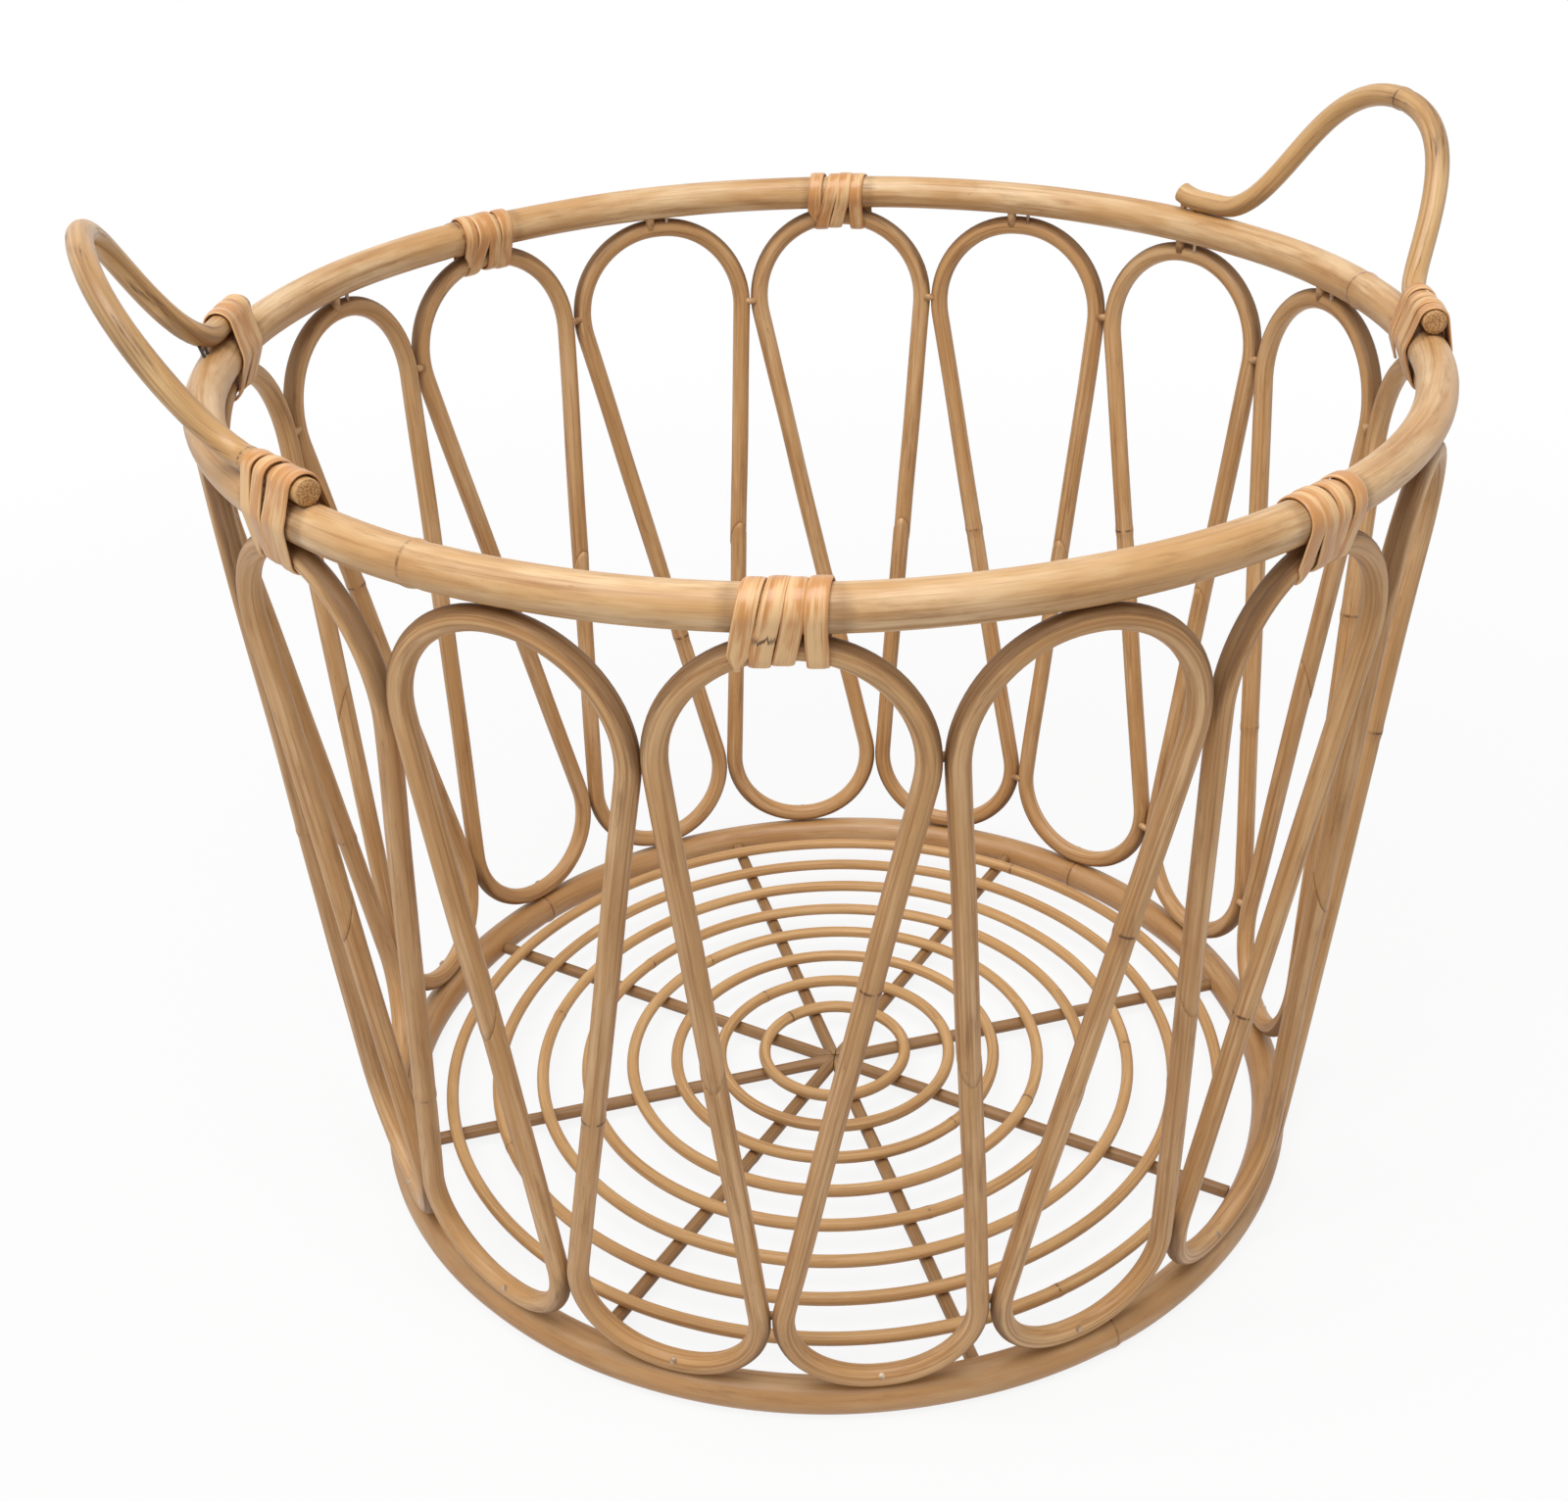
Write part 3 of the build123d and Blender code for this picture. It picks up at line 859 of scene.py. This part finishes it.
def rattan(name, pale, body, deep, smoke, smoky, blotchy, roughness=0.46, coat=0.07, painted_low_shade=0.0):
    """Body to pale by clouds, to deep by streaks and by painted shade near the floor, then smoke, flecks, joint
    lines and cut ends.
    """
    finish = Finish(bpy.data.materials.new(name))
    places = stick_places(finish)
    cloud = grain_noise(finish, places, 16, 0.8)
    streak = grain_noise(finish, places, 7, 3.2, 4.0, 0.6)
    fibre = grain_noise(finish, places, 60, 17, 2.0)
    fleck = grain_noise(finish, places, 130, 5, 2.0)
    patch = grain_noise(finish, places, 28, 1.3, 4.0, 0.65)
    bent, joint = finish.mark("bent"), finish.mark("joint")
    cut, tone = finish.mark("cut"), finish.mark("tone")
    spot = finish.node("ShaderNodeTexCoord", {}, {}, "Object")
    pores = finish.node("ShaderNodeTexNoise", {}, {"Vector": spot, "Scale": pore_fineness, "Detail": 2.0})

    shade = finish.blend(finish.step(cloud, 0.40, 0.75) * cloud_share, body, pale)
    dark_streak = finish.step(streak + tone * 0.08, 0.50, 0.74)
    shade = finish.blend(dark_streak * streak_share, shade, deep)
    shade = finish.blend(finish.step(fibre, 0.48, 0.75) * fibre_share, shade, deep)
    shade = finish.blend(finish.step(patch + streak * 0.4, 0.66, 0.95) * patch_share, shade, deep)
    # Painted shade: within a few centimetres of the floor the colour is blended towards deep, darkest at the
    # bottom.
    height = finish.node("ShaderNodeSeparateXYZ", {}, {0: spot}, "Z")
    shade = finish.blend((1 - finish.step(height, 0.0, low_shade_height)) * painted_low_shade, shade, deep)
    stain = finish.step(bent * 0.85 + patch * 0.8 + fibre * 0.35, 0.80, 1.30) * smoky
    stain = stain + finish.step(patch + (fibre - 0.5) * 0.3, 0.58, 0.74) * blotchy
    shade = finish.blend(stain, shade, smoke)
    spots = finish.step(fleck, 0.66, 0.74) * finish.step(patch, 0.45, 0.6)
    shade = finish.blend(spots * fleck_share, shade, deep)
    ragged = joint + (fibre - 0.5) * 0.0012
    line = (1 - finish.step(ragged, *line_edge)) * finish.step(patch, 0.40, 0.58)
    halo = (1 - finish.step(joint, *halo_edge)) * patch
    shade = finish.blend(halo * halo_share, shade, deep)
    shade = finish.blend(line * line_share, shade, smoke)
    shade = finish.blend(cut, shade, finish.blend(finish.step(pores, 0.42, 0.60), body, deep))

    relief = fibre * 0.35 + streak * 0.65
    bump = finish.node("ShaderNodeBump", {}, {"Strength": 0.22, "Distance": 0.0006, "Height": relief})
    finish.set(Base_Color=shade, Roughness=streak * 0.2 + stain * 0.25 + (roughness - 0.1), Normal=bump,
               Coat_Weight=coat, Coat_Roughness=0.28, Specular_IOR_Level=0.35)
    return finish.owner


print("the rattan recipe is ready")

# %% Five kinds of rattan
# The hoop rattan's last setting paints shade on the hoops near the floor.
finishes = {
    "hoop_rattan": rattan("hoop rattan", colour(232, 202, 160), colour(200, 155, 102), colour(164, 116, 68),
                          colour(112, 74, 40), smoky=0.50, blotchy=0.18, coat=0.20, painted_low_shade=0.6),
    "wall_rattan": rattan("wall rattan", colour(222, 184, 138), colour(196, 150, 98), colour(152, 105, 61),
                          colour(80, 49, 25), smoky=0.60, blotchy=0.20),
    "spoke_rattan": rattan("spoke rattan", colour(178, 141, 99), colour(155, 117, 77), colour(120, 86, 53),
                           colour(88, 60, 38), smoky=0.3, blotchy=0.15),
    "ring_rattan": rattan("ring rattan", colour(224, 184, 130), colour(203, 158, 104), colour(166, 120, 74),
                          colour(106, 74, 46), smoky=0.25, blotchy=0.10),
    "handle_rattan": rattan("handle rattan", colour(224, 188, 138), colour(198, 154, 100), colour(154, 108, 62),
                            colour(84, 55, 34), smoky=0.35, blotchy=0.78, roughness=0.40, coat=0.16),
}
print("rattan finishes:", sorted(finishes))

# %% The peel and the nails


def peel_finish(name):
    """Peach strip with glossy orange skin left in streaky patches, and fine lengthwise splits."""
    finish = Finish(bpy.data.materials.new(name))
    places = stick_places(finish)
    patch = grain_noise(finish, places, 34, 1.2, 3.0)
    split = grain_noise(finish, places, 14, 9, 3.0, 0.6)
    crack = grain_noise(finish, places, 9, 24, 2.0)
    skin = finish.step(patch + (split - 0.5) * 0.35, 0.41, 0.56)
    shade = finish.blend(skin * 0.9, colour(226, 185, 134), colour(196, 132, 68))
    shade = finish.blend(finish.step(split, 0.56, 0.75) * 0.5, shade, colour(164, 108, 60))
    shade = finish.blend(finish.step(crack, 0.60, 0.70) * 0.5, shade, colour(140, 90, 50))
    ragged = finish.node("ShaderNodeMath", {"operation": "ABSOLUTE"},
                         {0: finish.mark("joint") + (split - 0.5) * 0.008})
    torn = 1 - finish.step(ragged, 0.0004, 0.0011)
    shade = finish.blend(torn * 0.9, shade, colour(84, 50, 26))
    bump = finish.node("ShaderNodeBump", {}, {"Strength": 0.3, "Distance": 0.0004, "Height": split})
    finish.set(Base_Color=shade, Roughness=0.55 - skin * 0.22, Normal=bump, Coat_Weight=skin * 0.2)
    return finish.owner


def nail_finish(name, clean, brown, metallic):
    """Dull steel or pale peg wood, browned by handling, from noise on the part's own coordinates."""
    finish = Finish(bpy.data.materials.new(name))
    spot = finish.node("ShaderNodeTexCoord", {}, {}, "Object")
    rust = finish.node("ShaderNodeTexNoise", {}, {"Vector": spot, "Scale": 180.0, "Detail": 2.0})
    shade = finish.blend(finish.step(rust, 0.4, 0.65), clean, brown)
    finish.set(Base_Color=shade, Metallic=metallic, Roughness=0.45)
    return finish.owner


finishes["peel"] = peel_finish("peel")
nail = nail_finish("nail heads", colour(206, 186, 160), colour(140, 106, 76), 0.25)
iron = nail_finish("dark iron", colour(84, 78, 74), colour(52, 44, 40), 0.5)
peg_wood = nail_finish("peg wood", colour(200, 160, 114), colour(150, 108, 68), 0.0)
small_finishes = {"loop_brads": nail, "floor_brads": nail, "arch_pins": nail, "heel_pins": iron,
                  "arch_pegs": peg_wood, "touch_pegs": peg_wood, "foot_pins": peg_wood}
print("finishes in all:", len(finishes) + len(set(small_finishes.values())))

# %% [markdown]
# ## Dressing the solids
#
# Each new piece stands for its solid, which is then hidden, and takes the finish of the solid's slot.

# %% Pieces take the solids' places
slots = {"top_hoop": "hoop_rattan", "bottom_hoop": "hoop_rattan", "handle": "handle_rattan",
         "wall_rod": "wall_rattan", "floor_spoke": "spoke_rattan", "floor_ring": "ring_rattan",
         "lashing": "peel"}
for node, piece in pieces.items():
    slot = next(slot for start, slot in slots.items() if node.startswith(start))
    piece.data.materials.append(finishes[slot])
    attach(piece, "root")
    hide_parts(node)
for name, piece in {**brads, **pegs}.items():
    piece.data.materials.append(small_finishes[name])
    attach(piece, "root")
print("pieces:", len(pieces) + len(brads) + len(pegs))

# %% [markdown]
# ## Floor, light and camera
#
# The basket stands in a white studio. The floor and the surrounding light look white to the camera, while
# a wide lamp above the front left gives the soft shading. Near the basket the floor keeps its shadow. The
# camera stands where the photograph was taken from.

# %% Floor and surrounding light
half_floor, floor_height = 6.0, -0.0003
floor_corners = [(x * half_floor, y * half_floor, floor_height)
                 for x, y in ((-1, -1), (1, -1), (1, 1), (-1, 1))]
mesh = bpy.data.meshes.new("studio_floor")
mesh.from_pydata(floor_corners, [], [(0, 1, 2, 3)])
studio_floor = bpy.data.objects.new("studio_floor", mesh)
bpy.context.scene.collection.objects.link(studio_floor)


def seen_directly(finish):
    """1 for rays straight from the camera or by way of a mirror or glass, and 0 for light's own rays."""
    kinds = [finish.node("ShaderNodeLightPath", {}, {}, kind)
             for kind in ("Is Camera Ray", "Is Glossy Ray", "Is Transmission Ray")]
    return finish.node("ShaderNodeMath", {"operation": "ADD", "use_clamp": True},
                       {0: kinds[0] + kinds[1], 1: kinds[2]})


paper = Finish(bpy.data.materials.new("studio paper"))
paper.set(Base_Color=(0.75, 0.75, 0.75, 1), Roughness=0.9)
glow = paper.node("ShaderNodeEmission", {}, {"Color": (1, 1, 1, 1), "Strength": 1.0})
shadow_kept, shadow_near, shadow_far = 0.12, 0.35, 1.3
spot = paper.node("ShaderNodeTexCoord", {}, {}, "Object")
away = paper.node("ShaderNodeVectorMath", {"operation": "LENGTH"}, {0: spot}, "Value")
near = 1 - paper.step(away, shadow_near, shadow_far)
white = paper.node("ShaderNodeMixShader", {}, {0: seen_directly(paper) * (1 - near * shadow_kept),
                                              1: Amount(paper, paper.shader.outputs[0]), 2: glow})
paper.join(paper.tree.nodes["Material Output"].inputs["Surface"], white)
mesh.materials.append(paper.owner)

sky = Finish(bpy.data.worlds.new("studio"))
bpy.context.scene.world = sky.owner
around_light = 0.44
strength = seen_directly(sky) * (1 - around_light) + around_light
sky.join(sky.tree.nodes["Background"].inputs["Color"], (1, 1, 1, 1))
sky.join(sky.tree.nodes["Background"].inputs["Strength"], strength)
print("studio floor and surrounding light are set")

# %% Lamp and camera
target = np.array([0, 0, 0.2])


def aim(back, up):
    """A 3 by 3 turn whose own z axis is back and whose y axis leans towards up."""
    back = unit(np.array(back, float))
    right = unit(np.cross(up, back))
    return np.stack([right, np.cross(back, right), back], axis=1)


def place(thing, spot, turn):
    """Sets an object's matrix from a place and a turn."""
    matrix = np.eye(4)
    matrix[:3, :3], matrix[:3, 3] = turn, spot
    thing.matrix_world = mathutils.Matrix(matrix.tolist())
    bpy.context.scene.collection.objects.link(thing)


lamp = bpy.data.lights.new("wide lamp", "AREA")
lamp.shape, lamp.size, lamp.size_y, lamp.energy = "RECTANGLE", 2.0, 1.6, 52.0
lamp_spot = np.array([-0.6, -0.6, 2.4])
place(bpy.data.objects.new("wide lamp", lamp), lamp_spot, aim(lamp_spot - target, [0, 1, 0]))

picture_width, sensor_width = 1600, 36.0
focal_pixels, distance = 1994.0, 0.9161
elevation, azimuth, roll = np.radians([29.912, -19.735, -1.270])
centre_pixels = np.array([44.80, -13.13])
back = np.array([np.sin(azimuth) * np.cos(elevation), -np.cos(azimuth) * np.cos(elevation),
                 np.sin(elevation)])
right = np.array([np.cos(azimuth), np.sin(azimuth), 0])
above = np.cross(back, right)
camera = bpy.data.cameras.new("photograph")
camera.sensor_width, camera.lens = sensor_width, sensor_width * focal_pixels / picture_width
camera.shift_x, camera.shift_y = -centre_pixels / picture_width * [1, -1]
camera.clip_start = 0.01
viewer = bpy.data.objects.new("photograph", camera)
place(viewer, target + distance * back, aim(back, np.cos(roll) * above - np.sin(roll) * right))
bpy.context.scene.camera = viewer
bpy.context.scene.view_settings.view_transform = "Standard"
print(f"camera: {camera.lens:.2f} mm lens, shift {camera.shift_x:.4f}, {camera.shift_y:.4f}")
